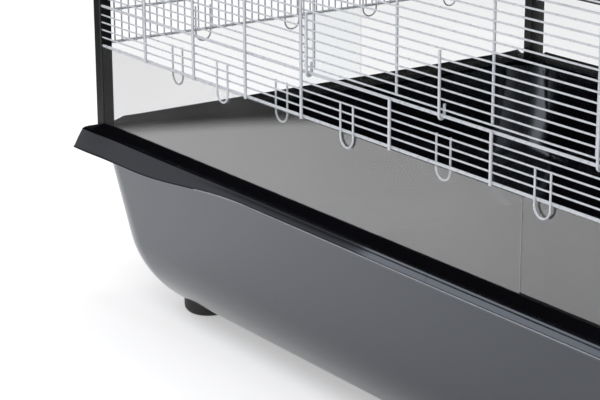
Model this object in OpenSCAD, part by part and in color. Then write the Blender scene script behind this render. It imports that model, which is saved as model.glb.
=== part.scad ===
// Indoor rabbit cage: a deep moulded tub with a two-part rim, four square posts, welded wire
// panels, clear litter guards under the wire, a drop-down front door and two roof lids.
// Millimetres. X runs along the front, Y to the back, Z up; the origin is on the floor at the centre.

/* [Overall] */
// Distance between the left and right wire planes
span_x = 1112; // [1000:1:1300]
// Distance between the front and rear wire planes
span_y = 573; // [500:1:700]
// Height of the roof's highest wire above the floor
cage_h = 510; // [480:1:640]

/* [Tub] */
// Depth of the tub, from the top of the rim down to its base
tub_depth = 175; // [130:1:190]
// Thickness of the tub wall
tub_wall = 3; // [2:0.1:4]
// How far the tub's top edge stands outside the wire planes
tub_out = 9.5; // [7.5:0.5:9.5]
// Inward slope of the tub wall, as run over rise
tub_taper = 0.09; // [0.05:0.01:0.15]
// Corner radius of the tub at its top edge
tub_corner_r = 48; // [30:1:60]
// Radius between the tub wall and its base
tub_base_r = 79; // [50:1:90]

/* [Feet] */
// Height of each foot below the tub
foot_h = 7; // [5:0.5:14]
// Radius of each foot
foot_r = 25; // [16:0.5:28]
// Distance from the side wire plane to a foot's centre
foot_in_x = 98; // [85:1:120]
// Distance from the front or rear wire plane to a foot's centre
foot_in_y = 65; // [55:1:90]

/* [Rim] */
// Width of the ledge outside the wire plane
ledge_out = 12; // [12:0.5:16]
// Extra width of the ledge on the rear side
rear_extra = 3; // [2:0.5:8]
// How far each plan corner of the rim is drawn out along X
corner_flare = 6; // [0:0.5:8]
// Thickness of the rim's ledge
ledge_t = 4; // [3:0.1:5]
// Height of the rim's outer edge band at mid-side
band_h = 9.5; // [8:0.5:12]
// Extra depth of the skirt at the corners
skirt_h = 12.5; // [6:0.5:20]
// How far the skirt's lower edge leans out at the corners
skirt_lean = 7; // [3:0.5:10]

/* [Posts] */
// Side of the square front posts
post_a = 13; // [10:0.5:14]
// Depth of the rear posts, from front to back
rear_post_d = 19.5; // [14:0.5:20]

/* [Wire] */
// Diameter of the thin wires
wire_d = 1.6; // [1.2:0.1:1.9]
// Diameter of the rods and upright wires
rod_d = 2.8; // [2.4:0.1:3.2]
// Diameter of the wire of the guard loops
loop_d = 1.8; // [1.4:0.1:2]
// Height of the wire's bottom rod above the rim
rod_up = 87.8; // [80:0.1:100]
// Height of the door's hinge rod above the bottom rod
hinge_up = 40.5; // [36:0.1:48]
// Spacing of the horizontal wires
wire_pitch = 7.6; // [6.5:0.1:9]
// Spacing of the side panels' upright wires
side_pitch = 8.3; // [7:0.1:10]
// Spacing of the roof wires
roof_pitch = 8.6; // [7:0.1:11]

/* [Door] */
// Width of the door opening between its jamb wires
door_w = 382; // [300:1:420]
// Spacing of the door's horizontal wires
door_pitch = 8.1; // [7:0.1:9.5]

/* [Guards] */
// Thickness of each clear guard sheet
sheet_t = 1; // [0.8:0.1:1.2]
// Overlap of the two sheets on the long sides, each side of the middle
lap_long = 100; // [40:1:120]
// Overlap of the two sheets on the short sides, each side of the middle
lap_short = 41; // [20:1:60]
// Inner width of a guard loop, between wire centres
loop_w = 18; // [14:0.5:22]
// Depth of a guard loop below the bottom rod
loop_drop = 13; // [10:0.5:16]

/* [Top frame] */
// Height of the top rails
rail_h = 18; // [14:0.5:22]
// Width of the top rails
rail_w = 16; // [14:0.5:20]

/* [Hidden] */

black_plastic = [0.10, 0.11, 0.13];
grey_plastic = [0.30, 0.31, 0.34];
black_steel = [0.13, 0.13, 0.14];
wire_white = [0.86, 0.88, 0.90];
clear_sheet = [0.80, 0.84, 0.86, 0.35];

// Running gap kept between pieces that lie against each other
seat = 0.1;
// Gap at a weld between two crossing wires
weld = 0.05;

plane_x = span_x / 2;
plane_y = span_y / 2;
rim_z = foot_h + tub_depth;
rod_z = rim_z + rod_up;
hinge_z = rod_z + hinge_up;
wire_r = wire_d / 2;
rod_r = rod_d / 2;
loop_r = loop_d / 2;

// ---------------------------------------------------------------- shared forms

// Outline of a rounded rectangle, anticlockwise from its right side
function round_rect(hx, hy, r, n) = [
  for (q = [0 : 3], i = [0 : n])
    let (sx = (q == 0 || q == 3) ? 1 : -1, sy = (q < 2) ? 1 : -1, a = 90 * q + 90 * i / n)
      [sx * (hx - r) + r * cos(a), sy * (hy - r) + r * sin(a)]
];

// Side faces between ring a and ring b of a loft, n points in each
function skin(a, b, n) = [
  for (i = [0 : n - 1])
    let (j = (i + 1) % n)
      each [[a * n + i, a * n + j, b * n + j], [a * n + i, b * n + j, b * n + i]]
];

// A straight round wire from one point to another along one axis
module wire_x(x0, x1, y, z, r) {
  translate([x0, y, z]) rotate([0, 90, 0]) cylinder(h = x1 - x0, r = r, $fn = 24);
}
module wire_y(x, y0, y1, z, r) {
  translate([x, y0, z]) rotate([-90, 0, 0]) cylinder(h = y1 - y0, r = r, $fn = 24);
}
module wire_z(x, y, z0, z1, r) {
  translate([x, y, z0]) cylinder(h = z1 - z0, r = r, $fn = 24);
}

// ---------------------------------------------------------------- tub

tub_z = rim_z - ledge_t;
tub_hx = plane_x + tub_out;
tub_hy = plane_y + tub_out;
tub_h = tub_depth - ledge_t;
wall_steps = 4;
base_steps = 9;
corner_steps = 10;
// Growth of the corner radius per millimetre of depth
corner_grow = 0.3;

wall_a = atan(tub_taper);

// Profile of the tub as [inset, depth] pairs, for the outer skin (t = 0) or the inner one
function tub_profile(t) =
  let (r = tub_base_r - t, h = tub_h - t, lean = t / cos(wall_a),
       dc = h - r, ic = lean + tub_taper * dc + r / cos(wall_a))
    concat(
      [for (k = [0 : wall_steps]) let (d = (dc + r * sin(wall_a)) * k / wall_steps)
        [lean + tub_taper * d, d]],
      [for (k = [1 : base_steps]) let (a = 180 - wall_a - (90 - wall_a) * k / base_steps)
        [ic + r * cos(a), dc + r * sin(a)]]
    );

function tub_ring(p) =
  let (inset = p[0], d = p[1], r = tub_corner_r + corner_grow * d - (inset - tub_taper * d))
    [for (q = round_rect(tub_hx - inset, tub_hy - inset, max(8, r), corner_steps)) [q[0], q[1], tub_z - d]];

module tub_skin(t) {
  prof = tub_profile(t);
  rings = len(prof);
  n = 4 * (corner_steps + 1);
  pts = [for (p = prof) each tub_ring(p)];
  polyhedron(
    pts,
    concat(
      [[for (i = [0 : n - 1]) n - 1 - i]],
      [for (k = [0 : rings - 2]) each skin(k, k + 1, n)],
      [[for (i = [0 : n - 1]) (rings - 1) * n + i]]
    ),
    convexity = 6
  );
}

module tub() {
  color(grey_plastic)
    difference() {
      tub_skin(0);
      translate([0, 0, 0.001]) tub_skin(tub_wall);
    }
}

// ---------------------------------------------------------------- feet

foot_x = plane_x - foot_in_x;
foot_y = plane_y - foot_in_y;
foot_edge = 8;
// Height of a foot before it is cut to the tub's rounded edge
foot_reach = foot_h + 18;

// A turned foot with a rounded lower edge, cut on top to the form of the tub
module foot(sx, sy) {
  color(black_plastic)
    difference() {
      translate([sx * foot_x, sy * foot_y, 0])
        rotate_extrude($fn = 48) {
          translate([0, foot_edge]) square([foot_r, foot_reach - foot_edge]);
          square([foot_r - foot_edge, foot_reach]);
          translate([foot_r - foot_edge, foot_edge]) circle(r = foot_edge, $fn = 32);
        }
      translate([0, 0, -seat]) tub_skin(0);
    }
}

module foot_front_left() foot(-1, -1);
module foot_front_right() foot(1, -1);
module foot_rear_left() foot(-1, 1);
module foot_rear_right() foot(1, 1);

// ---------------------------------------------------------------- rim

ledge_in = 13;
edge_round = 1.6;
skirt_t = 2;
// Slight crown of the band's faces
band_crown = 0.1;
// Plan corner radius of the rim's outer edge and of its inner edge
outer_r = 5;
inner_r = 40;
// Where along the sides the corner skirt begins and ends to sweep up, from the wire plane
sweep_x = [95, 290];
sweep_y = [75, 245];
straight_steps = 14;
arc_steps = 6;
groove_w = 2 * sheet_t + 0.8;
groove_d = 3;
// Width of the seam between the two rim halves
seam = 0.3;

// 1 at the corners, falling smoothly to 0 between the two given distances
function ease(d, a, b) = d <= a ? 1 : d >= b ? 0 : (1 + cos(180 * (d - a) / (b - a))) / 2;

// Closed section of the rim as [offset outward, height from the ledge's top], for a skirt weight
function rim_section(w) =
  let (o = ledge_out, low = -band_h - skirt_h * w, lean = skirt_lean * w, t = skirt_t)
    [
      [-ledge_in, -ledge_t], [-ledge_in, 0], [o - edge_round, 0],
      [o - edge_round * (1 - sin(45)), -edge_round * (1 - cos(45))], [o, -edge_round],
      [o + band_crown + 0.3 * lean, (low - edge_round) / 2], [o + lean, low],
      [o + lean - t, low], [o - t - band_crown + 0.25 * lean, (low - ledge_t) / 2 - 0.3], [o - t, -ledge_t]
    ];
section_n = len(rim_section(0));

// Plan corner radius of the rim at an offset from the wire planes
function plan_r(o) = o > ledge_out
  ? outer_r
  : outer_r + (inner_r - outer_r) * (ledge_out - o) / (ledge_out + ledge_in);

// Points of the left half's plan at offset o, from the rear seam round the left side to the front seam
function rim_plan(o) =
  let (r = plan_r(o), hx = plane_x + o - r, hy = plane_y + o - r, hb = hy + rear_extra, n = straight_steps, m = arc_steps)
    concat(
      [for (k = [0 : n]) [-seam / 2 - (hx - seam / 2) * k / n, hb + r]],
      [for (k = [1 : m - 1]) let (a = 90 + 90 * k / m) [-hx + r * cos(a), hb + r * sin(a)]],
      [for (k = [0 : n]) [-hx - r, hb - (hb + hy) * k / n]],
      [for (k = [1 : m - 1]) let (a = 180 + 90 * k / m) [-hx + r * cos(a), -hy + r * sin(a)]],
      [for (k = [n : -1 : 0]) [-seam / 2 - (hx - seam / 2) * k / n, -hy - r]]
    );

// Skirt weight at each of those points, taken along the ledge's outer edge
skirt_weight = [
  for (q = rim_plan(ledge_out))
    let (dx = plane_x + q[0], dy = plane_y + (q[1] > 0 ? rear_extra : 0) - abs(q[1]))
      abs(q[1]) > plane_y + ledge_out - outer_r ? ease(dx, sweep_x[0], sweep_x[1]) : ease(dy, sweep_y[0], sweep_y[1])
];

// A plan point moved out where it lies near a corner
flare_reach = 45;
function flared(q) =
  let (w = ease(plane_x + q[0], 0, flare_reach) * ease(plane_y + (q[1] > 0 ? rear_extra : 0) - abs(q[1]), 0, flare_reach))
    [q[0] - corner_flare * w, q[1] + sign(q[1]) * corner_flare * w / 3];

module rim_shell() {
  m = len(skirt_weight);
  pts = [
    for (i = [0 : m - 1])
      each [
        for (p = rim_section(skirt_weight[i]))
          let (q = rim_plan(p[0])[i], f = p[0] > 0 ? flared(q) : q) [f[0], f[1], rim_z + p[1]]
      ]
  ];
  polyhedron(
    pts,
    concat(
      [[for (i = [0 : section_n - 1]) i]],
      [for (k = [0 : m - 2]) each skin(k + 1, k, section_n)],
      [[for (i = [0 : section_n - 1]) m * section_n - 1 - i]]
    ),
    convexity = 10
  );
}

post_x = plane_x + 2 - post_a / 2;
front_post_y = -plane_y - 2.8 + post_a / 2;
rear_post_y = plane_y - 6.5 + rear_post_d / 2;

module rim_half() {
  color(black_plastic)
    difference() {
      rim_shell();
      // Seats that hold the feet of the two posts
      for (p = [[front_post_y, post_a], [rear_post_y, rear_post_d]])
        translate([-post_x - post_a / 2 - seat, p[0] - p[1] / 2 - seat, rim_z - groove_d])
          cube([post_a + 2 * seat, p[1] + 2 * seat, groove_d + 1]);
      // Grooves that hold the lower edges of the clear sheets
      for (s = [-1, 1])
        translate([-post_x, s * plane_y - groove_w / 2, rim_z - groove_d]) cube([post_x + 1, groove_w, groove_d + 1]);
      translate([-plane_x - groove_w / 2, front_post_y, rim_z - groove_d])
        cube([groove_w, rear_post_y - front_post_y, groove_d + 1]);
    }
}

module rim_left() rim_half();
module rim_right() mirror([1, 0, 0]) rim_half();

// ---------------------------------------------------------------- posts

top_z = cage_h - 8;
rail_z = top_z - rail_h;
post_wall = 1.2;
post_foot_z = rim_z - groove_d + seat;
// Height that the posts reach into the corner caps
post_top_z = top_z - 4;

module post(sx, y, depth) {
  color(black_steel)
    translate([sx * post_x, y, post_foot_z])
      linear_extrude(post_top_z - post_foot_z)
        difference() {
          round_post(depth, 0, 1);
          round_post(depth, post_wall, 0.3);
        }
}

// Plan of a square tube with round corners
module round_post(depth, inset, r) {
  hx = post_a / 2 - inset - r;
  hy = depth / 2 - inset - r;
  square([2 * hx + 2 * r, 2 * hy], center = true);
  square([2 * hx, 2 * hy + 2 * r], center = true);
  for (sx = [-1, 1], sy = [-1, 1]) translate([sx * hx, sy * hy]) circle(r = r, $fn = 24);
}

module post_front_left() post(-1, front_post_y, post_a);
module post_front_right() post(1, front_post_y, post_a);
module post_rear_left() post(-1, rear_post_y, rear_post_d);
module post_rear_right() post(1, rear_post_y, rear_post_d);

// ---------------------------------------------------------------- front wire

inner_x = post_x - post_a / 2 - seat;
front_y = -plane_y;
// Layers of the front panel: rods on the wire plane, uprights in front, thin wires behind them
upright_y = front_y - rod_d - weld;
thin_y = upright_y + rod_r + wire_r + weld;
thin_first = rod_z + 8.75;
sill_rows = 4;
jamb_x = door_w / 2;
// Uprights between the post and the jamb, and those of the sill below the door
bay_x = 88.5;
sill_upright_x = 64.5;
// The front panel's top rod lies in the top rail's slot
slot_up = 4;
panel_top_z = rail_z + slot_up;
// Rows of door wire that fit below the rail, and the rod above the door's top wire
door_first = hinge_z + 5.5;
door_rows = floor((rail_z - 19.3 - door_first) / door_pitch) + 1;
door_top = door_first + (door_rows - 1) * door_pitch;
header_z = door_top + 6.6;
fixed_first = hinge_z + 9;
fixed_rows = floor((panel_top_z - 5 - fixed_first) / wire_pitch) + 1;

module front_sill_grille() {
  color(wire_white) {
    wire_x(-inner_x, inner_x, front_y, rod_z, rod_r);
    wire_x(-inner_x, inner_x, front_y, hinge_z, rod_r);
    for (k = [0 : sill_rows - 1]) wire_x(-inner_x, inner_x, thin_y, thin_first + k * wire_pitch, wire_r);
    for (s = [-1, 1]) wire_z(s * sill_upright_x, upright_y, rod_z - rod_r, hinge_z + rod_r, rod_r);
  }
}

// Fixed wire beside the door, drawn for the left side
module front_side_grille() {
  for (k = [0 : 3])
    wire_z(-jamb_x - k * bay_x, upright_y, rod_z - rod_r, panel_top_z, rod_r);
  for (k = [0 : fixed_rows - 1])
    wire_x(-inner_x, -jamb_x + rod_r, thin_y, fixed_first + k * wire_pitch, wire_r);
}
module front_left_grille() color(wire_white) front_side_grille();
module front_right_grille() color(wire_white) mirror([1, 0, 0]) front_side_grille();

module front_header_wires() {
  color(wire_white) {
    wire_x(-inner_x, inner_x, front_y, panel_top_z, rod_r);
    wire_x(-jamb_x - rod_r, jamb_x + rod_r, front_y, header_z, rod_r);
    wire_x(-jamb_x - rod_r, jamb_x + rod_r, thin_y, header_z + wire_pitch, wire_r);
  }
}

// ---------------------------------------------------------------- rear and side wire

rear_bays = 12;

module rear_grille() {
  rows = floor((panel_top_z - 6 - thin_first) / wire_pitch) + 1;
  color(wire_white) {
    for (z = [rod_z, panel_top_z]) wire_x(-inner_x, inner_x, plane_y, z, rod_r);
    for (k = [0 : rows - 1]) wire_x(-inner_x, inner_x, -thin_y, thin_first + k * wire_pitch, wire_r);
    for (k = [1 : rear_bays - 1])
      wire_z(-inner_x + 2 * inner_x * k / rear_bays, -upright_y, rod_z - rod_r, panel_top_z, rod_r);
  }
}

side_y0 = front_post_y + post_a / 2 + seat;
side_y1 = rear_post_y - rear_post_d / 2 - seat;
side_mid_y = (side_y0 + side_y1) / 2;
// Heights of the side panel's horizontal rods above its bottom rod
side_rows = [0, 33, 120];

side_n = floor((side_y1 - side_y0) / side_pitch) - 1;

// Place along Y of the side panel's upright wire k
function side_wire_y(k) = side_mid_y + (k - side_n / 2) * side_pitch;

module side_grille() {
  x = -plane_x + rod_r + wire_r + weld;
  for (h = side_rows) wire_y(-plane_x, side_y0, side_y1, rod_z + h, rod_r);
  wire_y(-plane_x, side_y0, side_y1, panel_top_z, rod_r);
  for (k = [0 : side_n])
    wire_z(x, side_wire_y(k), rod_z - rod_r, panel_top_z + rod_r, wire_r);
}
module left_grille() color(wire_white) side_grille();
module right_grille() color(wire_white) mirror([1, 0, 0]) side_grille();

// ---------------------------------------------------------------- guard loops and sheets

loop_gap = rod_r + loop_r + weld;
loop_rise = 24;
loop_x = [-405, -319, -229, -124.5, 0, 124.5, 229, 319, 405];
loop_share = 5;
sheet_z0 = rim_z - groove_d + seat;
sheet_z1 = rod_z - rod_r - 0.3;
sheet_y = sheet_t / 2 + seat;

// A wire loop hanging from the bottom rod, open side up, in the XZ plane
module guard_loop() {
  r = loop_w / 2;
  zc = -loop_drop + r;
  translate([0, 0, zc]) rotate([90, 0, 0]) rotate([0, 0, 180])
    rotate_extrude(angle = 180, $fn = 48) translate([r, 0]) circle(r = loop_r, $fn = 16);
  for (s = [-1, 1]) translate([s * r, 0, zc]) cylinder(h = loop_rise - zc, r = loop_r, $fn = 16);
}

module front_guard_loops() {
  color(wire_white)
    for (k = [0 : len(loop_x) - 1])
      translate([loop_x[k], front_y + (k % 2 == 0 ? 1 : -1) * loop_gap, rod_z]) guard_loop();
}
module rear_guard_loops() {
  color(wire_white)
    for (k = [-4 : 4])
      translate([2 * inner_x * k / rear_bays, plane_y + (k % 2 == 0 ? -1 : 1) * loop_gap, rod_z]) guard_loop();
}
module side_guard_loops() {
  for (k = [1 : loop_share - 1])
    translate([-plane_x + (k % 2 == 0 ? loop_gap + wire_d + weld : -loop_gap), side_wire_y(round(side_n * k / loop_share)), rod_z])
      rotate([0, 0, 90]) guard_loop();
}
module left_guard_loops() color(wire_white) side_guard_loops();
module right_guard_loops() color(wire_white) mirror([1, 0, 0]) side_guard_loops();

module sheet(x0, x1, y0, y1) {
  color(clear_sheet) translate([x0, y0, sheet_z0]) cube([x1 - x0, y1 - y0, sheet_z1 - sheet_z0]);
}
module long_sheet(side, y) {
  a = side < 0 ? -inner_x : -lap_long;
  b = side < 0 ? lap_long : inner_x;
  sheet(a, b, y - sheet_t / 2, y + sheet_t / 2);
}
module short_sheet(sx, side, off) {
  mid = (side_y0 + side_y1) / 2;
  a = side < 0 ? side_y0 : mid - lap_short;
  b = side < 0 ? mid + lap_short : side_y1;
  x = sx * (plane_x - off);
  sheet(x - sheet_t / 2, x + sheet_t / 2, a, b);
}
module front_guard_left() long_sheet(-1, front_y - sheet_y);
module front_guard_right() long_sheet(1, front_y + sheet_y);
module rear_guard_left() long_sheet(-1, plane_y + sheet_y);
module rear_guard_right() long_sheet(1, plane_y - sheet_y);
module left_guard_front() short_sheet(-1, -1, sheet_y);
module left_guard_rear() short_sheet(-1, 1, -sheet_y);
module right_guard_front() short_sheet(1, -1, sheet_y);
module right_guard_rear() short_sheet(1, 1, -sheet_y);

// Small clips pressed on the sheets behind the loops beside the door's middle
clip_r = 4.5;
clip_t = 2.5;
module guard_clips() {
  color(black_plastic)
    for (side = [-1, 1])
      translate([loop_x[4 + side], front_y + side * sheet_y + sheet_t / 2 + seat, sheet_z1 - clip_r - 5])
        rotate([-90, 0, 0]) cylinder(h = clip_t, r = clip_r, $fn = 32);
}

// ---------------------------------------------------------------- door

hook_r = 1.2;
hinge_gap = 0.15;
hook_ring_r = rod_r + hook_r + hinge_gap;
hook_y = front_y - hook_ring_r;
door_y = hook_y + hook_r + wire_r + weld;
door_upright_y = door_y + wire_r + hook_r + weld;
door_half = jamb_x - rod_r - 1;
door_edge_x = jamb_x - 13.5;
door_mid_x = 60.7;
hook_x = [-(jamb_x - 8), 0, jamb_x - 8];
hook_rise = 53;
hook_tail = 9;

module door_grille() {
  color(wire_white) {
    for (k = [0 : door_rows - 1]) wire_x(-door_half, door_half, door_y, door_first + k * door_pitch, wire_r);
    for (x = [-door_edge_x, -door_mid_x, door_mid_x, door_edge_x])
      wire_z(x, door_upright_y, door_first - wire_r, door_top + wire_r, hook_r);
  }
}

// A wire hook: an upright welded to the door, curled under the hinge rod to a short tail behind it
module hinge_hook() {
  rotate([0, 90, 0]) rotate([0, 0, -90])
    rotate_extrude(angle = 180, $fn = 48) translate([hook_ring_r, 0]) circle(r = hook_r, $fn = 16);
  translate([0, -hook_ring_r, 0]) cylinder(h = hook_rise, r = hook_r, $fn = 16);
  translate([0, hook_ring_r, 0]) cylinder(h = hook_tail, r = hook_r, $fn = 16);
}
module door_hinge_hooks() {
  color(wire_white) for (x = hook_x) translate([x, front_y, hinge_z]) hinge_hook();
}

stop_x = 120;
module door_stop_wires() {
  color(wire_white)
    for (x = [-stop_x, stop_x]) wire_z(x, hook_y, door_top - 2.5 * door_pitch, header_z + rod_r + 2, hook_r);
}

// Sliding latches behind the door's wires, with a thumb tab between two of them
bolt_r = 2;
bolt_fit = 0.08;
bolt_travel = 10;
latch_z = door_top - 3.5 * door_pitch;
bolt_y = door_upright_y + hook_r + bolt_r + 0.3;
bolt_x1 = jamb_x - 4;
housing_x0 = jamb_x - 60;
housing_x1 = door_edge_x - hook_r - 1;
housing_y0 = door_y + wire_r + weld;
housing_y1 = bolt_y + bolt_r + 2;
housing_h = 13;
tab_x = housing_x0 + 14;
tab_w = 10;
tab_t = 4.4;
tab_y = front_y - 8;

module latch_housing() {
  slot_w = tab_w + bolt_travel + 1;
  difference() {
    translate([housing_x0, housing_y0, latch_z - housing_h / 2])
      cube([housing_x1 - housing_x0, housing_y1 - housing_y0, housing_h]);
    translate([housing_x0 - 1, bolt_y, latch_z]) rotate([0, 90, 0])
      cylinder(h = housing_x1 - housing_x0 + 2, r = bolt_r + bolt_fit, $fn = 48);
    translate([tab_x - tab_w / 2 - 0.5, housing_y0 - 1, latch_z - tab_t / 2 - 0.3])
      cube([slot_w, bolt_y - housing_y0 + 1, tab_t + 0.6]);
  }
}
module latch_bolt() {
  wire_x(housing_x0 + 3, bolt_x1, bolt_y, latch_z, bolt_r);
  translate([tab_x - tab_w / 2, tab_y, latch_z - tab_t / 2]) cube([tab_w, bolt_y - tab_y, tab_t]);
}
module latch_housing_right() color(black_plastic) latch_housing();
module latch_housing_left() color(black_plastic) mirror([1, 0, 0]) latch_housing();
module latch_bolt_right() color(wire_white) latch_bolt();
module latch_bolt_left() color(wire_white) mirror([1, 0, 0]) latch_bolt();

// ---------------------------------------------------------------- top frame

rail_out = 8;
rail_round = 4;
post_in_x = post_x - post_a / 2;
front_post_back = front_post_y + post_a / 2;
rear_post_face = rear_post_y - rear_post_d / 2;

// Section of a top rail: outer face at x = 0, slot for the wire panel in its underside
module rail_section(slot_from, slot_to) {
  difference() {
    union() {
      square([rail_w, rail_h - rail_round]);
      translate([rail_round, 0]) square([rail_w - 2 * rail_round, rail_h]);
      for (x = [rail_round, rail_w - rail_round])
        translate([x, rail_h - rail_round]) circle(r = rail_round, $fn = 32);
    }
    translate([slot_from, -1]) square([slot_to - slot_from, slot_up + rod_r + 1.4]);
  }
}
// A rail along X on the front side, or on the rear when turned round
module long_rail(slot_from, slot_to) {
  translate([-post_in_x + seat, -plane_y - rail_out, rail_z])
    rotate([90, 0, 90]) linear_extrude(2 * (post_in_x - seat)) rail_section(slot_from, slot_to);
}
module side_rail() {
  translate([-plane_x - rail_out, rear_post_face - seat, rail_z])
    rotate([90, 0, 0]) linear_extrude(rear_post_face - front_post_back - 2 * seat)
      rail_section(rail_out - rod_r - 0.4, rail_out + rod_r + wire_d + 0.5);
}
module top_rail_front() {
  color(black_plastic) long_rail(rail_out - rod_d - rod_r - 0.5, rail_out + rod_r + 0.4);
}
module top_rail_rear() {
  color(black_plastic) rotate([0, 0, 180]) long_rail(rail_out - rod_d - rod_r - 0.5, rail_out + rod_r + 0.4);
}
module top_rail_left() color(black_plastic) side_rail();
module top_rail_right() color(black_plastic) mirror([1, 0, 0]) side_rail();

// Moulded cap over a post's top, with two walls outside the post
cap_wall = 8;
rear_cap_wall = 4;
cap_round = 6;
module corner_cap(sx, sy) {
  y = sy < 0 ? front_post_y : rear_post_y;
  d = sy < 0 ? post_a : rear_post_d;
  wall_y = sy < 0 ? cap_wall : rear_cap_wall;
  color(black_plastic)
    translate([sx * post_x, y, 0]) scale([sx, sy, 1])
      difference() {
        translate([-post_a / 2, -d / 2, rail_z])
          linear_extrude(top_z - rail_z) {
            square([post_a + cap_wall - cap_round, d + wall_y]);
            square([post_a + cap_wall, d + wall_y - cap_round]);
            translate([post_a + cap_wall - cap_round, d + wall_y - cap_round])
              circle(r = cap_round, $fn = 48);
          }
        translate([-post_a / 2 - 1, -d / 2 - 1, rail_z - 1])
          cube([post_a + 1 + seat, d + 1 + seat, post_top_z + seat - rail_z + 1]);
      }
}
module corner_cap_front_left() corner_cap(-1, -1);
module corner_cap_front_right() corner_cap(1, -1);
module corner_cap_rear_left() corner_cap(-1, 1);
module corner_cap_rear_right() corner_cap(1, 1);

// ---------------------------------------------------------------- roof

lid_axis_x = 12;
lid_rod_z = top_z + rod_r + seat;
cross_z = lid_rod_z + rod_d + weld;
roof_thin_z = cross_z - rod_r - wire_r - weld;
lid_out_x = plane_x - 2;
lid_half_y = plane_y - 1;
cross_y = [-lid_half_y + 3, -95, 95, lid_half_y - 3];
clip_y = [-200, 0, 200];
clip_w = 14;
bar_w = 34;
bar_z = top_z - 2;

module roof_bar() {
  half = plane_y + rail_out - rail_w - seat;
  color(black_plastic)
    translate([-bar_w / 2, -half, rail_z + 2]) cube([bar_w, 2 * half, bar_z - rail_z - 2]);
}
module roof_hinge_clips() {
  block = 8;
  color(black_plastic)
    for (sx = [-1, 1], y = clip_y)
      translate([sx * lid_axis_x, y - clip_w / 2, bar_z + seat])
        difference() {
          translate([-block / 2, 0, 0]) cube([block, clip_w, lid_rod_z - bar_z + rod_r + 1.5]);
          translate([0, -1, lid_rod_z - bar_z - seat]) rotate([-90, 0, 0])
            cylinder(h = clip_w + 2, r = rod_r + bolt_fit, $fn = 48);
        }
}
module roof_lid() {
  n = floor((lid_out_x - lid_axis_x) / roof_pitch) - 1;
  for (x = [lid_axis_x, lid_out_x]) wire_y(-x, -lid_half_y, lid_half_y, lid_rod_z, rod_r);
  for (y = cross_y) wire_x(-lid_out_x - rod_r, -lid_axis_x + rod_r, y, cross_z, rod_r);
  for (k = [1 : n]) wire_y(-lid_axis_x - k * roof_pitch, -lid_half_y, lid_half_y, roof_thin_z, wire_r);
}
module roof_lid_left() color(wire_white) roof_lid();
module roof_lid_right() color(wire_white) mirror([1, 0, 0]) roof_lid();

grip_l = 90;
grip_w = 20;
grip_t = 3.2;
// A moulded finger grip clipped on the lid's outer wires
module lid_grip() {
  z = roof_thin_z + wire_r + weld;
  translate([-lid_out_x - rod_r, 0, z + 0.05])
    linear_extrude(grip_t)
      union() {
        translate([4, -grip_l / 2]) square([grip_w - 8, grip_l]);
        translate([0, -grip_l / 2 + 4]) square([grip_w, grip_l - 8]);
        for (x = [4, grip_w - 4], y = [-grip_l / 2 + 4, grip_l / 2 - 4])
          translate([x, y]) circle(r = 4, $fn = 32);
      }
}
module lid_grip_left() color(black_plastic) lid_grip();
module lid_grip_right() color(black_plastic) mirror([1, 0, 0]) lid_grip();

// Turn-buttons on the side rails that swing over the lids
catch_y = 130;
catch_x = plane_x + rail_out - 4.2;
catch_z = top_z + seat;
catch_plate_z = lid_rod_z + rod_r + 0.4;
catch_t = 3;
catch_len = 24;
pin_r = 1.5;
pin_head_r = 3;
module roof_catch() {
  translate([-catch_x, catch_y, 0])
    difference() {
      union() {
        translate([0, 0, catch_z]) cylinder(h = catch_plate_z - catch_z, r = 4, $fn = 48);
        translate([0, 0, catch_plate_z]) cylinder(h = catch_t, r = 4, $fn = 48);
        translate([-4, 0, catch_plate_z]) cube([8, catch_len - 4, catch_t]);
        translate([0, catch_len - 4, catch_plate_z]) cylinder(h = catch_t, r = 4, $fn = 48);
      }
      translate([0, 0, catch_z - 1]) cylinder(h = 12, r = pin_r + bolt_fit, $fn = 48);
    }
}
module roof_catch_left() color(black_plastic) roof_catch();
module roof_catch_right() color(black_plastic) mirror([1, 0, 0]) roof_catch();
module catch_pins() {
  color(wire_white)
    for (sx = [-1, 1])
      translate([sx * catch_x, catch_y, 0]) {
        translate([0, 0, catch_z]) cylinder(h = catch_plate_z + catch_t + seat - catch_z, r = pin_r, $fn = 48);
        translate([0, 0, catch_plate_z + catch_t + seat])
          cylinder(h = cage_h - catch_plate_z - catch_t - seat, r = pin_head_r, $fn = 48);
      }
}

// ---------------------------------------------------------------- build

tub();
rim_left();
rim_right();
foot_front_left();
foot_front_right();
foot_rear_left();
foot_rear_right();
post_front_left();
post_front_right();
post_rear_left();
post_rear_right();
front_sill_grille();
front_left_grille();
front_right_grille();
front_header_wires();
rear_grille();
left_grille();
right_grille();
front_guard_loops();
rear_guard_loops();
left_guard_loops();
right_guard_loops();
front_guard_left();
front_guard_right();
rear_guard_left();
rear_guard_right();
left_guard_front();
left_guard_rear();
right_guard_front();
right_guard_rear();
guard_clips();
door_grille();
door_hinge_hooks();
door_stop_wires();
latch_housing_left();
latch_housing_right();
latch_bolt_left();
latch_bolt_right();
top_rail_front();
top_rail_rear();
top_rail_left();
top_rail_right();
corner_cap_front_left();
corner_cap_front_right();
corner_cap_rear_left();
corner_cap_rear_right();
roof_bar();
roof_hinge_clips();
roof_lid_left();
roof_lid_right();
lid_grip_left();
lid_grip_right();
roof_catch_left();
roof_catch_right();
catch_pins();
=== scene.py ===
from math import atan, cos, pi, radians, sin, tan

import bpy
from mathutils import Matrix, Vector


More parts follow.
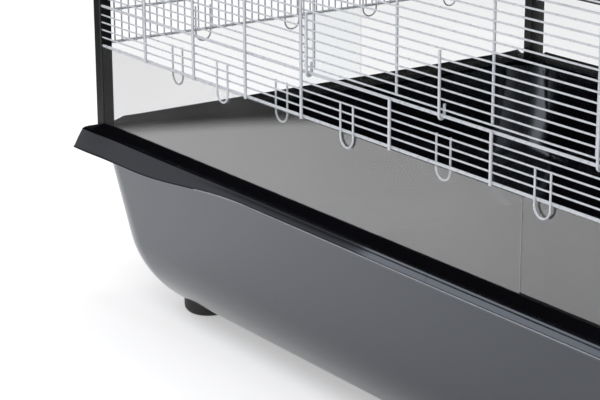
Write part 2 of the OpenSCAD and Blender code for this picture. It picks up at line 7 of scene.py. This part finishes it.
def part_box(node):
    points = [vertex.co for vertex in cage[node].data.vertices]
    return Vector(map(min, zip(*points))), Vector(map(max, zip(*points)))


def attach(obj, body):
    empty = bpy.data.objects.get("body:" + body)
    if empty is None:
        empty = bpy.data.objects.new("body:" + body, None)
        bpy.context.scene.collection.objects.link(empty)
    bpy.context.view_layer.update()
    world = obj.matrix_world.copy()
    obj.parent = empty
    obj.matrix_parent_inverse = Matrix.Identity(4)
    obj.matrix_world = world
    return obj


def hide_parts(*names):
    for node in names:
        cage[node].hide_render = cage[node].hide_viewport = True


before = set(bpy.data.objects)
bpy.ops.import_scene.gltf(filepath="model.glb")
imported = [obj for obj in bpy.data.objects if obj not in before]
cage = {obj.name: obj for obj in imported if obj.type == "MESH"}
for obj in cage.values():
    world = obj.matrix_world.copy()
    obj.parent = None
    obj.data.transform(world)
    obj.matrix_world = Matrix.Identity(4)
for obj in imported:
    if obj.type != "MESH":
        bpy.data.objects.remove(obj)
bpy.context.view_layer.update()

# ---------------------------------------------------------------- camera
# The camera stands off the right front corner and a little above the roof, and looks
# along the front of the cage towards its left front corner through a long lens.
right = Vector((0.56779, 0.82315, -0.00524))
down = Vector((0.23368, -0.16729, -0.95781))
ahead = Vector((-0.78931, 0.54262, -0.28734))
camera_data = bpy.data.cameras.new("camera")
camera_data.sensor_width = 36.0
camera_data.lens = 36.0 * 2043.5 / 600
camera_data.clip_start = 0.05
camera_data.clip_end = 60
camera = bpy.data.objects.new("camera", camera_data)
turn = Matrix((right, -down, -ahead)).transposed().to_4x4()
camera.matrix_world = Matrix.Translation((1.2239, -1.2638, 0.7100)) @ turn
bpy.context.scene.collection.objects.link(camera)
bpy.context.scene.camera = camera

# ---------------------------------------------------------------- floor and light
# A white studio floor and backdrop under soft lamps. The floor takes the tub's shadow. For mirrored
# rays only, the floor carries a painted pool of light, with painted shade towards the tub and to the
# right, and a painted dim room outside it.


def linear(hex_code):
    """An sRGB hex colour as linear red, green, blue and a full alpha."""
    parts = [int(hex_code[i:i + 2], 16) / 255 for i in (1, 3, 5)]
    return tuple(c / 12.92 if c <= 0.04045 else ((c + 0.055) / 1.055) ** 2.4 for c in parts) + (1.0,)


def add_node(tree, kind, settings=None, inputs=None):
    """Adds one node with its settings; an input is a value, or (node, output) to link."""
    made = tree.nodes.new(kind)
    for key, value in (settings or {}).items():
        setattr(made, key, value)
    for key, value in (inputs or {}).items():
        if isinstance(value, tuple) and len(value) == 2 and isinstance(value[0], bpy.types.Node):
            tree.links.new(value[0].outputs[value[1]], made.inputs[key])
        else:
            made.inputs[key].default_value = value
    return made


def new_material(name):
    """An empty node material and its tree."""
    material = bpy.data.materials.new(name)
    material.use_nodes = True
    material.node_tree.nodes.clear()
    return material, material.node_tree


def dress(material, *words, at_start=True):
    """Gives a material to the CAD nodes whose names start with, or only hold, one of the words."""
    for name in cage:
        if name.startswith(words) if at_start else any(word in name for word in words):
            cage[name].data.materials.clear()
            cage[name].data.materials.append(material)


def ray_kinds(tree):
    """Two factors: 1 on rays straight from the eye or through clear sheet, 1 on mirrored rays."""
    path = add_node(tree, "ShaderNodeLightPath")
    glossy = add_node(tree, "ShaderNodeMath", {"operation": "GREATER_THAN"}, {
        0: (path, "Glossy Depth"), 1: 0.5,
    })
    plain = add_node(tree, "ShaderNodeMath", {"operation": "SUBTRACT"}, {0: 1.0, 1: (glossy, 0)})
    seen = add_node(tree, "ShaderNodeMath", {"operation": "ADD", "use_clamp": True}, {
        0: (path, "Is Camera Ray"), 1: (path, "Is Transmission Ray"),
    })
    direct = add_node(tree, "ShaderNodeMath", {"operation": "MULTIPLY"}, {
        0: (seen, 0), 1: (plain, 0),
    })
    carried = add_node(tree, "ShaderNodeMath", {"operation": "ADD", "use_clamp": True}, {
        0: (path, "Is Glossy Ray"), 1: (path, "Is Transmission Ray"),
    })
    mirrored = add_node(tree, "ShaderNodeMath", {"operation": "MULTIPLY"}, {
        0: (carried, 0), 1: (glossy, 0),
    })
    return direct, mirrored


floor_white, tree = new_material("matt_white_studio_floor")
direct, mirrored = ray_kinds(tree)
where = add_node(tree, "ShaderNodeTexCoord")
axes = add_node(tree, "ShaderNodeSeparateXYZ", None, {0: (where, "Object")})
matt = add_node(tree, "ShaderNodeBsdfDiffuse", None, {"Color": linear("#E6E6E8")})
white = add_node(tree, "ShaderNodeMath", {"operation": "MULTIPLY"}, {0: (direct, 0), 1: 0.42})
# Painted light, seen only by mirrored rays: the pool is brightest at the left and in front, and
# thins out along the tub to the right as painted shade.
painted_light_across = add_node(tree, "ShaderNodeMapRange", None, {
    "Value": (axes, 0), "From Min": -0.6, "From Max": -0.05, "To Min": 0.5, "To Max": 0.21,
})
front = add_node(tree, "ShaderNodeMapRange", None, {
    "Value": (axes, 1), "From Min": -0.64, "From Max": -0.5, "To Min": 0.22, "To Max": 0.0,
})
painted_light_pool = add_node(tree, "ShaderNodeMath", {"operation": "ADD"}, {0: (painted_light_across, 0), 1: (front, 0)})
painted_light_pool = add_node(tree, "ShaderNodeMath", {"operation": "MULTIPLY"}, {0: (painted_light_pool, 0), 1: (mirrored, 0)})
glow = add_node(tree, "ShaderNodeMath", {"operation": "ADD"}, {0: (white, 0), 1: (painted_light_pool, 0)})
shine = add_node(tree, "ShaderNodeEmission", None, {
    "Color": linear("#FFFFFF"), "Strength": (glow, 0),
})
lit = add_node(tree, "ShaderNodeAddShader", None, {0: (matt, 0), 1: (shine, 0)})
# Painted shade, seen only by mirrored rays: outside a ring round the tub the floor turns dim.
spot = add_node(tree, "ShaderNodeVectorMath", {"operation": "DISTANCE"}, {
    0: (where, "Object"), 1: (0.0, -0.3, 0.0),
})
painted_dim_ring = add_node(tree, "ShaderNodeMapRange", {"interpolation_type": "SMOOTHSTEP"}, {
    "Value": (spot, "Value"), "From Min": 1.14, "From Max": 1.23, "To Min": 0.0, "To Max": 1.0,
})
painted_dim_ring = add_node(tree, "ShaderNodeMath", {"operation": "MULTIPLY"}, {0: (painted_dim_ring, 0), 1: (mirrored, 0)})
painted_dim_room = add_node(tree, "ShaderNodeEmission", None, {"Color": linear("#FFFFFF"), "Strength": 0.03})
both = add_node(tree, "ShaderNodeMixShader", None, {0: (painted_dim_ring, 0), 1: (lit, 0), 2: (painted_dim_room, 0)})
add_node(tree, "ShaderNodeOutputMaterial", None, {"Surface": (both, 0)})
floor_mesh = bpy.data.meshes.new("studio_floor")
corners = [(-14, -14, 0), (14, -14, 0), (14, 14, 0), (-14, 14, 0)]
floor_mesh.from_pydata(corners, [], [(0, 1, 2, 3)])
floor_mesh.materials.append(floor_white)
floor = bpy.data.objects.new("studio_floor", floor_mesh)
bpy.context.scene.collection.objects.link(floor)

world = bpy.data.worlds.new("studio_world")
bpy.context.scene.world = world
world.use_nodes = True
tree = world.node_tree
tree.nodes.clear()
direct, mirrored = ray_kinds(tree)
way = add_node(tree, "ShaderNodeTexCoord")
axes = add_node(tree, "ShaderNodeSeparateXYZ", None, {0: (way, "Generated")})
room = add_node(tree, "ShaderNodeMapRange", {"interpolation_type": "SMOOTHSTEP"}, {
    "Value": (axes, 2), "From Min": 0.12, "From Max": 0.26, "To Min": 0.45, "To Max": 0.006,
})
level = add_node(tree, "ShaderNodeMix", {"data_type": "FLOAT"}, {
    0: (mirrored, 0), 2: 0.45, 3: (room, 0),
})
level = add_node(tree, "ShaderNodeMix", {"data_type": "FLOAT"}, {
    0: (direct, 0), 2: (level, 0), 3: 1.0,
})
sky = add_node(tree, "ShaderNodeBackground", None, {
    "Color": linear("#FFFFFF"), "Strength": (level, 0),
})
add_node(tree, "ShaderNodeOutputWorld", None, {"Surface": (sky, 0)})
bpy.context.scene.view_settings.view_transform = "Standard"

for name, place, size, power in (
    ("key_lamp", (0.9, -1.6, 2.3), 1.6, 22),
    ("fill_lamp", (-1.9, -1.0, 1.6), 1.1, 12),
    ("top_lamp", (0.0, 0.4, 2.6), 2.0, 20),
):
    lamp_data = bpy.data.lights.new(name, "AREA")
    lamp_data.shape = "SQUARE"
    lamp_data.size = size
    lamp_data.energy = power
    lamp = bpy.data.objects.new(name, lamp_data)
    lamp.visible_glossy = False
    aim = Vector((0, 0, 0.2)) - Vector(place)
    lamp.matrix_world = Matrix.Translation(place) @ aim.to_track_quat("-Z", "Y").to_matrix().to_4x4()
    bpy.context.scene.collection.objects.link(lamp)

# A white card stands in front of the right half, where only mirrored rays find it. It lights
# the rim's sloping band from mid-length to the right.
card_white, tree = new_material("white_reflector_card")
shine = add_node(tree, "ShaderNodeEmission", None, {"Color": linear("#FFFFFF"), "Strength": 1.6})
add_node(tree, "ShaderNodeOutputMaterial", None, {"Surface": (shine, 0)})
card_mesh = bpy.data.meshes.new("reflector_card")
card_mesh.from_pydata(
    [(-0.88, -1.0, 0.02), (1.6, -1.0, 0.02), (1.6, -1.0, 0.42), (-0.96, -1.0, 0.42)],
    [], [(0, 1, 2, 3)],
)
card_mesh.materials.append(card_white)
card = bpy.data.objects.new("reflector_card", card_mesh)
bpy.context.scene.collection.objects.link(card)
card.visible_camera = card.visible_diffuse = card.visible_shadow = card.visible_transmission = False

# ---------------------------------------------------------------- tub
# The deep pan is one injection moulding in gloss black polypropylene. Its walls lean in
# a little for the draw, run into the base in a wide curve, and end in a small bead on
# which the rim sits.
mm = 0.001
half_x, half_y = 556.0, 286.5
rim_top = 182.0
tub_top = rim_top - 4.0
tub_out, wall_t = 9.5, 3.0
tub_hx, tub_hy = half_x + tub_out, half_y + tub_out
tub_height, tub_taper, tub_curve, tub_corner, tub_grow = 171.0, 0.09, 79.0, 48.0, 0.3
lean = atan(tub_taper)
wall_from, least_corner = 10.8, 8.0
wall_steps, curve_steps, corner_steps = 14, 24, 20


def rounded_ring(hx, hy, r, z, n):
    """Points of a rounded rectangle at one height, anticlockwise from its right side."""
    ring = []
    for q in range(4):
        sx, sy = (1, -1, -1, 1)[q], (1, 1, -1, -1)[q]
        for i in range(n + 1):
            a = radians(90 * q + 90 * i / n)
            ring.append((sx * (hx - r) + r * cos(a), sy * (hy - r) + r * sin(a), z))
    return ring


def tub_rings(t, beaded):
    """Rings of the tub's outer skin (t = 0) or of the inner one, from the top down. A step is
    how far the ring is set in from the top edge, and how deep it lies under it."""
    r, h = tub_curve - t, tub_height - t
    shift = t / cos(lean)
    dc = h - r
    ic = shift + tub_taper * dc + r / cos(lean)
    steps = []
    foot = dc + r * sin(lean)
    steps.append((shift, 0.0))
    if beaded:
        steps += [(0.4, 4.6), (-2.6, 5.4), (-3.2, 5.8), (-3.5, 6.4)]
        steps += [(-3.5, 8.0), (-3.2, 8.6), (-2.6, 9.0), (0.8, 9.3)]
    for k in range(1, wall_steps + 1):
        d = wall_from + (foot - wall_from) * k / wall_steps
        steps.append((shift + tub_taper * d, d))
    for k in range(1, curve_steps + 1):
        a = pi - lean - (pi / 2 - lean) * k / curve_steps
        steps.append((ic + r * cos(a), dc + r * sin(a)))
    rings = []
    for inset, d in steps:
        rc = tub_corner + tub_grow * d - (inset - tub_taper * d)
        rc = max(least_corner, rc)
        rings.append(rounded_ring(tub_hx - inset, tub_hy - inset, rc, tub_top - d, corner_steps))
    return rings


def loft(name, rings):
    """A closed mesh through rings of equal length, outer side outwards, with flat end faces."""
    n = len(rings[0])
    points = [tuple(c * mm for c in p) for ring in rings for p in ring]
    faces = []
    for k in range(len(rings) - 1):
        for i in range(n):
            j = (i + 1) % n
            faces.append((k * n + i, (k + 1) * n + i, (k + 1) * n + j, k * n + j))
    faces.append(tuple(range(n)))
    faces.append(tuple((len(rings) - 1) * n + i for i in reversed(range(n))))
    mesh = bpy.data.meshes.new(name)
    mesh.from_pydata(points, [], faces)
    return mesh


def finish_piece(name, mesh, material, node):
    """Shades a mesh, gives it its material and puts it on the cage in place of its CAD node."""
    sharp_angle = 35
    mesh.materials.append(material)
    for face in mesh.polygons:
        face.use_smooth = True
    mesh.set_sharp_from_angle(angle=radians(sharp_angle))
    piece = bpy.data.objects.new(name, mesh)
    bpy.context.scene.collection.objects.link(piece)
    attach(piece, "cage")
    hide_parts(node)


# Gloss moulded polypropylene: a near-black body under a polished skin. The skin is very
# slightly wavy from shrinkage, which softens what it mirrors, and carries a little dust.
tub_gloss, tree = new_material("gloss_black_polypropylene")
where = add_node(tree, "ShaderNodeTexCoord")
wave = add_node(tree, "ShaderNodeTexNoise", None, {
    "Vector": (where, "Object"), "Scale": 9.0, "Detail": 1.5,
})
grain = add_node(tree, "ShaderNodeTexNoise", None, {
    "Vector": (where, "Object"), "Scale": 900.0, "Detail": 2.0,
})
rough = add_node(tree, "ShaderNodeMapRange", None, {
    "Value": (wave, 0), "From Min": 0.3, "From Max": 0.7, "To Min": 0.10, "To Max": 0.16,
})
swell = add_node(tree, "ShaderNodeBump", None, {
    "Strength": 0.12, "Distance": 0.002, "Height": (wave, 0),
})
peel = add_node(tree, "ShaderNodeBump", None, {
    "Strength": 0.015, "Distance": 0.0002, "Height": (grain, 0), "Normal": (swell, 0),
})
body_colour = add_node(tree, "ShaderNodeMix", {"data_type": "RGBA"}, {
    0: (wave, 0), 6: linear("#0B0B0E"), 7: linear("#0F0F12"),
})
surface = add_node(tree, "ShaderNodeBsdfPrincipled", None, {
    "Base Color": (body_colour, 2), "Roughness": (rough, 0), "IOR": 1.9,
    "Specular Tint": linear("#EBF2FF"), "Normal": (peel, 0),
})
add_node(tree, "ShaderNodeOutputMaterial", None, {"Surface": (surface, 0)})

outer = tub_rings(0.0, True)
inner = tub_rings(wall_t, False)
tub_mesh = loft("tub_pan", list(reversed(inner)) + outer)
finish_piece("tub_pan", tub_mesh, tub_gloss, "tub")

# ---------------------------------------------------------------- rim
# Two gloss black ABS mouldings meet at mid-length and sit on the tub's bead. Their ledge
# carries the sheets and posts, with a low lip outside the groove, and swells at the corners
# into a skirt that leans out.
ledge_in, ledge_out, ledge_t, rear_extra = 13.0, 12.0, 4.0, 3.0
band_h, skirt_h, skirt_lean, skirt_t, edge_r = 9.5, 12.5, 7.0, 2.0, 1.2
outer_r, inner_r, corner_flare, flare_reach, seam_half = 5.0, 40.0, 6.0, 45.0, 0.15
groove_half, groove_deep, lip_h, lip_foot = 1.4, 3.0, 8.0, 6.2
# The small bead along the skirt's lower edge, and its first and last points in the section
bead, bead_steps = 0.8, 6
round_steps, skirt_steps = 6, 8
bead_first = 10 + (round_steps + 1) + skirt_steps + 1
bead_last = bead_first + 4
bead_middle = bead_first + 2
sweep_x, sweep_y = (95.0, 290.0), (75.0, 245.0)


def ease(d, a, b):
    """1 up to a, falling smoothly to 0 at b."""
    return 1.0 if d <= a else 0.0 if d >= b else (1 + cos(pi * (d - a) / (b - a))) / 2


def rim_section(w, groove):
    """Section of the rim as (offset outward, height from the ledge's top), going round it: w is
    the skirt's share of its full height, and groove the groove's share of its depth."""
    o, low, er = ledge_out, -band_h - skirt_h * w, edge_r + 1.4 * w
    out = (skirt_lean - bead) * (band_h + skirt_h * w) / (band_h + skirt_h)
    points = [(-ledge_in, -ledge_t), (-ledge_in, -0.6), (-ledge_in + 0.6, 0.0)]
    points += [
        (-groove_half, 0.0), (-groove_half, -groove * groove_deep),
        (groove_half, -groove * groove_deep),
    ]
    points += [(groove_half, (lip_h - 0.4) * groove), (groove_half + 0.3, lip_h * groove)]
    points += [(groove_half + 0.9, (lip_h - 0.2) * groove), (groove_half + lip_foot, 0.0)]
    for k in range(round_steps + 1):
        a = pi / 2 - 1.25 * k / round_steps
        points.append((o - er + er * cos(a), -er + er * sin(a)))
    for k in range(1, skirt_steps + 1):
        s = k / skirt_steps
        points.append((o + out * (1.15 * s - 0.15 * s * s), -er + (low + 2.0 + er) * s))
    for k in range(bead_steps + 1):
        a = pi * (0.42 - k / bead_steps)
        points.append((o + out + bead * cos(a), low + bead + bead * sin(a)))
    points.append((o + out - skirt_t, low + 0.3))
    for k in range(1, 6):
        s = 1 - k / 6
        h = -ledge_t - 0.2 + (low + ledge_t + 0.3) * s
        points.append((o - skirt_t + out * (1.15 * s - 0.15 * s * s), h))
    points.append((o - skirt_t - 0.6, -ledge_t))
    return points


def plan_point(o, part, f):
    """Plan of the left half at offset o: part 0 the rear side, 1 the rear corner, 2 the left
    side, 3 the front corner, 4 the front side; f runs from 0 to 1 along it."""
    inward = max(0.0, ledge_out - o) / (ledge_out + ledge_in)
    r = outer_r + (inner_r - outer_r) * inward
    hx, front = half_x + o - r, half_y + o - r
    back = front + rear_extra
    if part == 0:
        return -seam_half - (hx - seam_half) * f, back + r
    if part == 1:
        return -hx + r * cos(pi / 2 * (1 + f)), back + r * sin(pi / 2 * (1 + f))
    if part == 2:
        return -hx - r, back - (back + front) * f
    if part == 3:
        return -hx + r * cos(pi / 2 * (2 + f)), -front + r * sin(pi / 2 * (2 + f))
    return -seam_half - (hx - seam_half) * (1 - f), -front - r


def rim_ring(part, f):
    """The rim's section at one place round the left half."""
    x, y = plan_point(ledge_out, part, f)
    w, groove = 1.0, 1.0
    if part in (0, 4):
        w = ease(half_x + x, *sweep_x)
    elif part == 2:
        w = ease(half_y + (rear_extra if y > 0 else 0.0) - abs(y), *sweep_y)
    else:
        groove = 0.0
    ring = []
    for o, h in rim_section(w, groove):
        x, y = plan_point(o, part, f)
        if o > 0:
            past_y = half_y + (rear_extra if y > 0 else 0.0) - abs(y)
            drawn = ease(half_x + x, 0, flare_reach) * ease(past_y, 0, flare_reach)
            x -= corner_flare * drawn
            y += corner_flare * drawn / 3 * (1 if y > 0 else -1)
        ring.append((x, y, rim_top + h))
    return ring


rim_gloss, tree = new_material("gloss_black_abs")
where = add_node(tree, "ShaderNodeTexCoord")
wave = add_node(tree, "ShaderNodeTexNoise", None, {
    "Vector": (where, "Object"), "Scale": 14.0, "Detail": 1.5,
})
grain = add_node(tree, "ShaderNodeTexNoise", None, {
    "Vector": (where, "Object"), "Scale": 1200.0, "Detail": 2.0,
})
rough = add_node(tree, "ShaderNodeMapRange", None, {
    "Value": (wave, 0), "From Min": 0.3, "From Max": 0.7, "To Min": 0.05, "To Max": 0.09,
})
swell = add_node(tree, "ShaderNodeBump", None, {
    "Strength": 0.08, "Distance": 0.001, "Height": (wave, 0),
})
peel = add_node(tree, "ShaderNodeBump", None, {
    "Strength": 0.02, "Distance": 0.0002, "Height": (grain, 0), "Normal": (swell, 0),
})
body_colour = add_node(tree, "ShaderNodeMix", {"data_type": "RGBA"}, {
    0: (wave, 0), 6: linear("#08080B"), 7: linear("#0B0B0F"),
})
surface = add_node(tree, "ShaderNodeBsdfPrincipled", None, {
    "Base Color": (body_colour, 2), "Roughness": (rough, 0), "IOR": 1.9,
    "Specular Tint": linear("#E3EDFF"), "Normal": (peel, 0),
})
add_node(tree, "ShaderNodeOutputMaterial", None, {"Surface": (surface, 0)})

# The thin rolled lip under the low band is painted paler and duller than the rest. This is a painted
# highlight: a pale matt colour that stands in for the bright line a lamp draws along the rounded
# edge.
painted_highlight_lip, tree = new_material("black_abs_lip_painted_highlight")
where = add_node(tree, "ShaderNodeTexCoord")
highlight_mottle = add_node(tree, "ShaderNodeTexNoise", None, {
    "Vector": (where, "Object"), "Scale": 60.0, "Detail": 2.0,
})
tone = add_node(tree, "ShaderNodeMix", {"data_type": "RGBA"}, {
    0: (highlight_mottle, 0), 6: linear("#8B8F97"), 7: linear("#A3A7AE"),
})
surface = add_node(tree, "ShaderNodeBsdfPrincipled", None, {
    "Base Color": (tone, 2), "Roughness": 0.4, "IOR": 1.5,
})
add_node(tree, "ShaderNodeOutputMaterial", None, {"Surface": (surface, 0)})

for side, node_name in ((1, "rim_left"), (-1, "rim_right")):
    rings = []
    for part, steps in enumerate((60, 12, 40, 12, 60)):
        rings += [rim_ring(part, k / steps) for k in range(steps + (part == 4))]
    rings = [[(side * x, y, z) for x, y, z in ring] for ring in rings]
    if side > 0:
        rings.reverse()
    rim_mesh = loft("rim_ledge_" + node_name[4:], rings)
    finish_piece("rim_ledge_" + node_name[4:], rim_mesh, rim_gloss, node_name)
    rim_mesh.materials.append(painted_highlight_lip)
    n = len(rings[0])
    # Faces on the upper part of the bead get the painted highlight.
    painted_highlight_above = rim_top - band_h - 0.35 * skirt_h
    for face in rim_mesh.polygons:
        on_bead = len(face.vertices) == 4 and all(
            bead_first <= v % n <= bead_last for v in face.vertices
        )
        if on_bead and all(rings[v // n][bead_middle][2] > painted_highlight_above for v in face.vertices):
            face.material_index = 1

# ---------------------------------------------------------------- feet
# Four round feet in matt black rubber, moulded with a soft lower edge and shaped to the
# curved base of the tub.
rubber, tree = new_material("matt_black_rubber")
where = add_node(tree, "ShaderNodeTexCoord")
grain = add_node(tree, "ShaderNodeTexNoise", None, {
    "Vector": (where, "Object"), "Scale": 1500.0, "Detail": 3.0,
})
peel = add_node(tree, "ShaderNodeBump", None, {
    "Strength": 0.3, "Distance": 0.0003, "Height": (grain, 0),
})
surface = add_node(tree, "ShaderNodeBsdfPrincipled", None, {
    "Base Color": linear("#1A1A1C"), "Roughness": 0.62, "IOR": 1.5, "Normal": (peel, 0),
})
add_node(tree, "ShaderNodeOutputMaterial", None, {"Surface": (surface, 0)})
dress(rubber, "foot_")

# ---------------------------------------------------------------- posts
# Square steel tubes with rounded corners, powder coated satin black. They stand in seats
# cut in the rim's ledge and carry the wire and the top rails.
coat, tree = new_material("satin_black_powder_coat")
where = add_node(tree, "ShaderNodeTexCoord")
grain = add_node(tree, "ShaderNodeTexNoise", None, {
    "Vector": (where, "Object"), "Scale": 700.0, "Detail": 2.0,
})
peel = add_node(tree, "ShaderNodeBump", None, {
    "Strength": 0.25, "Distance": 0.0003, "Height": (grain, 0),
})
rough = add_node(tree, "ShaderNodeMapRange", None, {
    "Value": (grain, 0), "From Min": 0.3, "From Max": 0.7, "To Min": 0.34, "To Max": 0.46,
})
surface = add_node(tree, "ShaderNodeBsdfPrincipled", None, {
    "Base Color": linear("#141416"), "Roughness": (rough, 0), "IOR": 1.5, "Normal": (peel, 0),
})
add_node(tree, "ShaderNodeOutputMaterial", None, {"Surface": (surface, 0)})
dress(coat, "post_")

# ---------------------------------------------------------------- wire
# Drawn steel wire, spot welded into panels and dipped in a hard silver-white epoxy coat.
# The coat is smooth and half glossy, and pools a little at the welds.
silver, tree = new_material("silver_white_epoxy_coated_wire")
where = add_node(tree, "ShaderNodeTexCoord")
mottle = add_node(tree, "ShaderNodeTexNoise", None, {
    "Vector": (where, "Object"), "Scale": 160.0, "Detail": 2.0,
})
tone = add_node(tree, "ShaderNodeMix", {"data_type": "RGBA"}, {
    0: (mottle, 0), 6: linear("#D2D6DC"), 7: linear("#E6E9EE"),
})
rough = add_node(tree, "ShaderNodeMapRange", None, {
    "Value": (mottle, 0), "From Min": 0.3, "From Max": 0.7, "To Min": 0.24, "To Max": 0.36,
})
surface = add_node(tree, "ShaderNodeBsdfPrincipled", None, {
    "Base Color": (tone, 2), "Roughness": (rough, 0), "Metallic": 0.12, "IOR": 1.5,
})
add_node(tree, "ShaderNodeOutputMaterial", None, {"Surface": (surface, 0)})
dress(silver, "grille", "loops", "_wires", "hooks", "roof_lid", at_start=False)

# ---------------------------------------------------------------- guard sheets
# Clear acrylic strips, 1 mm thick, that stand in the rim's groove and keep the litter in.
# They mirror the floor strongly at a low angle and carry a faint haze from cleaning. The
# shader is a thin pane's: both faces mirror at the front one, and nothing is bent.
acrylic, tree = new_material("clear_acrylic_sheet")
where = add_node(tree, "ShaderNodeTexCoord")
smear = add_node(tree, "ShaderNodeTexNoise", None, {
    "Vector": (where, "Object"), "Scale": 7.0, "Detail": 3.0,
})
share = add_node(tree, "ShaderNodeMapRange", None, {
    "Value": (smear, 0), "From Min": 0.3, "From Max": 0.7, "To Min": 0.015, "To Max": 0.035,
})
skin = add_node(tree, "ShaderNodeFresnel", None, {"IOR": 1.62})
both = add_node(tree, "ShaderNodeMath", {"operation": "MULTIPLY", "use_clamp": True}, {
    0: (skin, 0), 1: 1.85,
})
facing = add_node(tree, "ShaderNodeNewGeometry")
front = add_node(tree, "ShaderNodeMath", {"operation": "SUBTRACT"}, {
    0: 1.0, 1: (facing, "Backfacing"),
})
mirrors = add_node(tree, "ShaderNodeMath", {"operation": "MULTIPLY"}, {0: (both, 0), 1: (front, 0)})
through = add_node(tree, "ShaderNodeBsdfTransparent", None, {"Color": linear("#FFFFFF")})
mirror = add_node(tree, "ShaderNodeBsdfAnisotropic", None, {
    "Color": linear("#FFFFFF"), "Roughness": 0.0,
})
clear = add_node(tree, "ShaderNodeMixShader", None, {
    0: (mirrors, 0), 1: (through, 0), 2: (mirror, 0),
})
haze = add_node(tree, "ShaderNodeBsdfDiffuse", None, {"Color": linear("#F2F2F0")})
mixed = add_node(tree, "ShaderNodeMixShader", None, {0: (share, 0), 1: (clear, 0), 2: (haze, 0)})
add_node(tree, "ShaderNodeOutputMaterial", None, {"Surface": (mixed, 0)})

# Where two sheets lap they cling face to face, and the inner one stops mirroring there. So
# do the end faces of the two outer sheets.
clung, tree = new_material("clear_acrylic_sheet_clung")
through = add_node(tree, "ShaderNodeBsdfTransparent", None, {"Color": linear("#FBFCFC")})
add_node(tree, "ShaderNodeOutputMaterial", None, {"Surface": (through, 0)})

for name in cage:
    if "_guard_" in name and "loops" not in name:
        cage[name].data.materials.clear()
        cage[name].data.materials.append(acrylic)
        cage[name].data.materials.append(clung)
        for face in cage[name].data.polygons:
            if name in ("front_guard_left", "rear_guard_left") and face.normal.x > 0.9:
                face.material_index = 1

# The inner sheets are built again as boxes cut across at the end of their lap.
lap_back = 0.0018
for name, along, lap in (
    ("front_guard_right", 0, 0.1), ("rear_guard_right", 0, 0.1),
    ("left_guard_rear", 1, None), ("right_guard_rear", 1, None),
):
    low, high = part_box(name)
    if lap is None:
        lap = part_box(name.replace("rear", "front"))[1][along]
    cuts = (low[along], lap - lap_back, high[along])
    p0, p1, z0, z1 = low[1 - along], high[1 - along], low[2], high[2]
    points = []
    for c in cuts:
        for p, q in ((p0, z0), (p1, z0), (p1, z1), (p0, z1)):
            points.append((c, p, q) if along == 0 else (p, c, q))
    faces = [(0, 3, 2, 1), (8, 9, 10, 11)]
    for k in (0, 4):
        for i in range(4):
            j = (i + 1) % 4
            faces.append((k + i, k + j, k + 4 + j, k + 4 + i))
    if along == 1:
        faces = [tuple(reversed(face)) for face in faces]
    sheet_mesh = bpy.data.meshes.new(name + "_sheet")
    sheet_mesh.from_pydata(points, [], faces)
    sheet_mesh.materials.append(acrylic)
    sheet_mesh.materials.append(clung)
    for face in sheet_mesh.polygons:
        face.material_index = 1 if face.center[along] < cuts[1] else 0
    piece = bpy.data.objects.new(name + "_sheet", sheet_mesh)
    bpy.context.scene.collection.objects.link(piece)
    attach(piece, "cage")
    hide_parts(name)

# ---------------------------------------------------------------- clips, latches, rails and caps
# Satin black polypropylene mouldings: the sheet clips, latch housings, top rails, corner
# caps, roof bar, hinge clips, finger grips and turn-buttons.
satin, tree = new_material("satin_black_polypropylene")
where = add_node(tree, "ShaderNodeTexCoord")
grain = add_node(tree, "ShaderNodeTexNoise", None, {
    "Vector": (where, "Object"), "Scale": 900.0, "Detail": 3.0,
})
peel = add_node(tree, "ShaderNodeBump", None, {
    "Strength": 0.2, "Distance": 0.0002, "Height": (grain, 0),
})
surface = add_node(tree, "ShaderNodeBsdfPrincipled", None, {
    "Base Color": linear("#131418"), "Roughness": 0.38, "IOR": 1.5, "Normal": (peel, 0),
})
add_node(tree, "ShaderNodeOutputMaterial", None, {"Surface": (surface, 0)})
dress(
    satin, "guard_clips", "latch_housing", "top_rail", "corner_cap", "roof_bar", "roof_hinge",
    "lid_grip", "roof_catch",
)

# ---------------------------------------------------------------- bolts and pins
# Zinc-plated steel, bright and finely drawn along its length.
zinc, tree = new_material("zinc_plated_steel")
where = add_node(tree, "ShaderNodeTexCoord")
grain = add_node(tree, "ShaderNodeTexNoise", None, {
    "Vector": (where, "Object"), "Scale": 500.0, "Detail": 2.0,
})
rough = add_node(tree, "ShaderNodeMapRange", None, {
    "Value": (grain, 0), "To Min": 0.22, "To Max": 0.4,
})
surface = add_node(tree, "ShaderNodeBsdfPrincipled", None, {
    "Base Color": linear("#B9BCC0"), "Roughness": (rough, 0), "Metallic": 1.0,
})
add_node(tree, "ShaderNodeOutputMaterial", None, {"Surface": (surface, 0)})
dress(zinc, "latch_bolt", "catch_pins")
